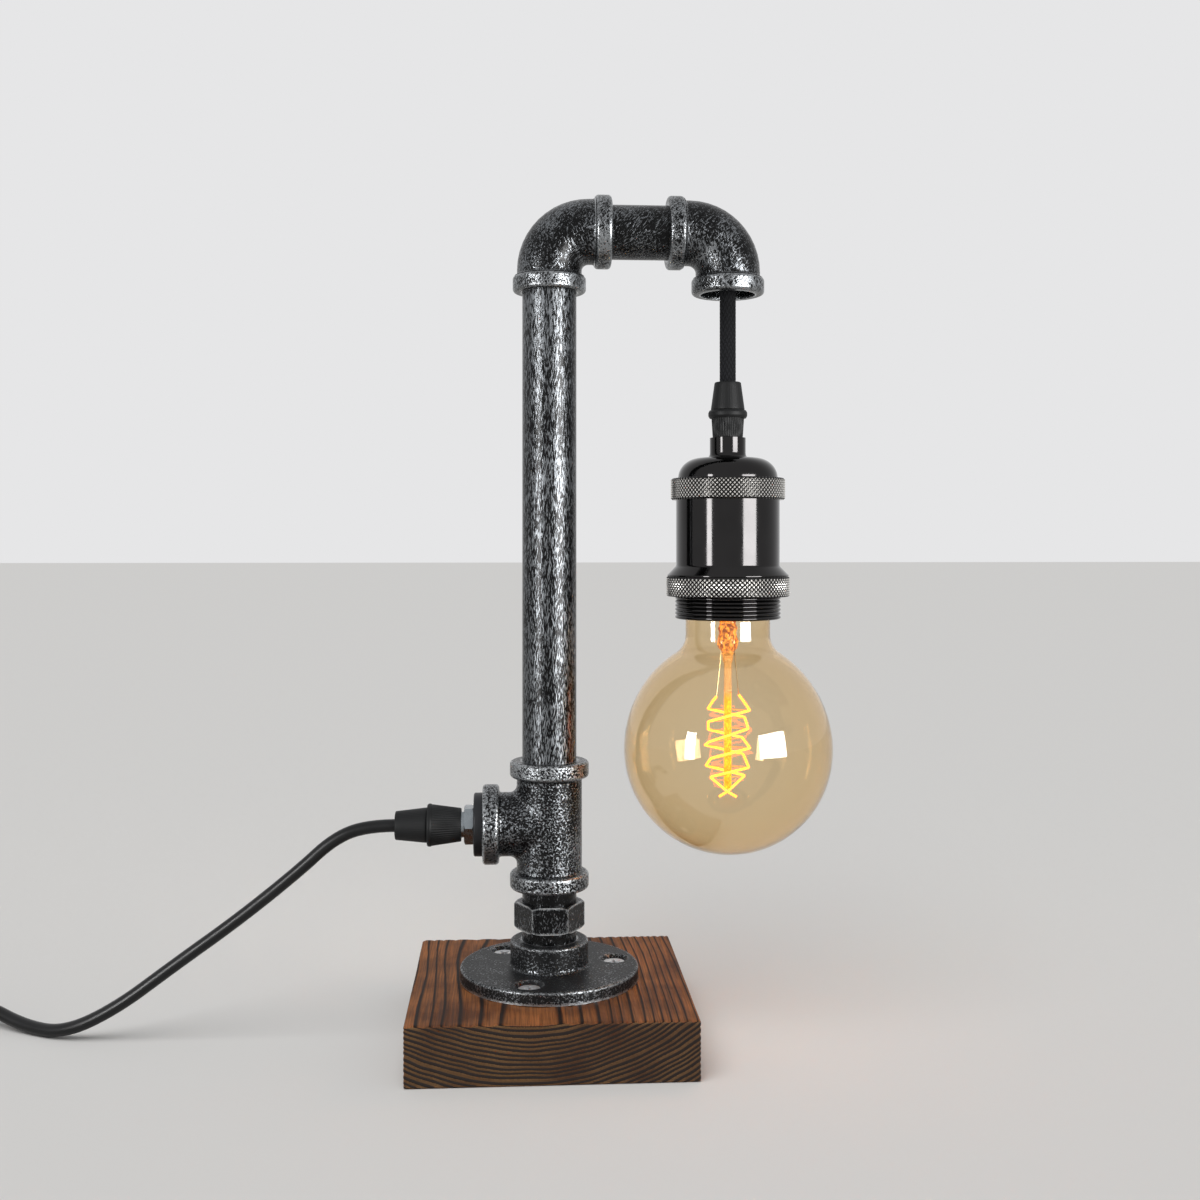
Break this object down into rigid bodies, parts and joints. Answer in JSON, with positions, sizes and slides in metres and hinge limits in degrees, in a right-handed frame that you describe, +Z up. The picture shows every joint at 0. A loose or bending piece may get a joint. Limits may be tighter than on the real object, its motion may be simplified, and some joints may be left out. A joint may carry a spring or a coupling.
{
  "type": "industrial pipe table lamp",
  "caption": "Table lamp of pipe fittings on a wooden block, with a globe bulb in a knurled holder hung from its arm by a textile cable.",
  "frame": {"origin": "on the underside of the wooden block, below the upright pipe's axis", "axes": "+Z up, +X along the arm towards the pendant, mains cord leaves along -X"},
  "size_m": [0.4953, 0.1302, 0.3297],
  "materials": {
    "softwood": "flamed and brushed softwood, satin oil",
    "antiqued_iron": "black iron, dry-brushed with silver",
    "bright_steel": "zinc plated",
    "black_plastic": "moulded, matt",
    "cord_pvc": "extruded PVC sheath",
    "core_insulation": "extruded core insulation",
    "textile_cable": "braided textile sleeve",
    "black_chrome": "turned, knurled and black chromed",
    "porcelain": "glazed porcelain",
    "nickel_brass": "nickel plated",
    "amber_glass": "blown glass with an amber wash",
    "clear_glass": "clear stem glass",
    "tungsten": "glowing wire"
  },
  "bodies": {
    "stand": {"base_block": "softwood", "floor_flange": "antiqued_iron", "flange_screws": "bright_steel", "hex_nipple": "antiqued_iron", "tee": "antiqued_iron", "upright_pipe": "antiqued_iron", "upright_elbow": "antiqued_iron", "arm_nipple": "antiqued_iron", "outlet_elbow": "antiqued_iron", "outlet_bush": "black_plastic", "gland_locknut": "bright_steel", "gland_tube": "bright_steel", "cord_grip_body": "black_plastic", "cord_grip_nut": "black_plastic", "mains_sheath_end": "cord_pvc", "supply_cores": "core_insulation", "butt_splices": "nickel_brass", "cable_cores": "core_insulation", "cable_in_pipe": "textile_cable", "mains_cord": "cord_pvc", "cord_coil": "cord_pvc", "cord_tie": "black_plastic", "switch_base": "black_plastic", "switch_cover": "black_plastic", "switch_screws": "bright_steel", "switch_terminals": "nickel_brass", "plug_body": "black_plastic", "plug_pins": "nickel_brass"},
    "cable_link": {"cable_upper": "textile_cable"},
    "pendant": {"cable_lower": "textile_cable", "holder_grip_nut": "black_plastic", "holder_grip_body": "black_plastic", "holder_tube": "bright_steel", "holder_cap": "black_chrome", "holder_shell": "black_chrome", "ceramic_insert": "porcelain", "screw_sleeve": "nickel_brass", "centre_contact": "nickel_brass", "terminal_blocks": "nickel_brass", "terminal_screws": "bright_steel", "holder_cores": "core_insulation"},
    "ring": {"shade_ring": "black_chrome"},
    "bulb_button": {"bulb_contact": "nickel_brass"},
    "bulb": {"bulb_glass": "amber_glass", "bulb_cap": "nickel_brass", "bulb_insulator": "black_plastic", "glass_stem": "clear_glass", "lead_wires": "bright_steel", "filament": "tungsten", "filament_supports": "bright_steel"},
    "rocker": {"switch_rocker": "black_plastic"}
  },
  "joints": [
    {"name": "pendant_swing_side", "type": "hinge", "parent": "stand", "child": "cable_link", "pos_m": [0.0708, 0, 0.298], "axis": [0, -1, 0], "range_deg": [-4, 35]},
    {"name": "pendant_swing_fore", "type": "hinge", "parent": "cable_link", "child": "pendant", "pos_m": [0.0708, 0, 0.287], "axis": [1, 0, 0], "range_deg": [-35, 35]},
    {"name": "shade_ring_travel", "type": "slide", "parent": "pendant", "child": "ring", "axis": [0, 0, -1], "range_m": [0, 0.008]},
    {"name": "bulb_travel", "type": "slide", "parent": "pendant", "child": "bulb_button", "axis": [0, 0, -1], "range_m": [0, 0.0254]},
    {"name": "bulb_turn", "type": "hinge", "parent": "bulb_button", "child": "bulb", "pos_m": [0.0708, 0, 0.19], "axis": [0, 0, -1], "range_deg": [0, 2520]},
    {"name": "switch_rocker_tilt", "type": "hinge", "parent": "stand", "child": "rocker", "pos_m": [-0.271, 0.024, 0.0115], "axis": [0, 1, 0], "range_deg": [-16, 0]}
  ],
  "couplings": [
    {"joint": "bulb_turn", "follows": "bulb_travel", "rad_per_m": 1731.4}
  ]
}
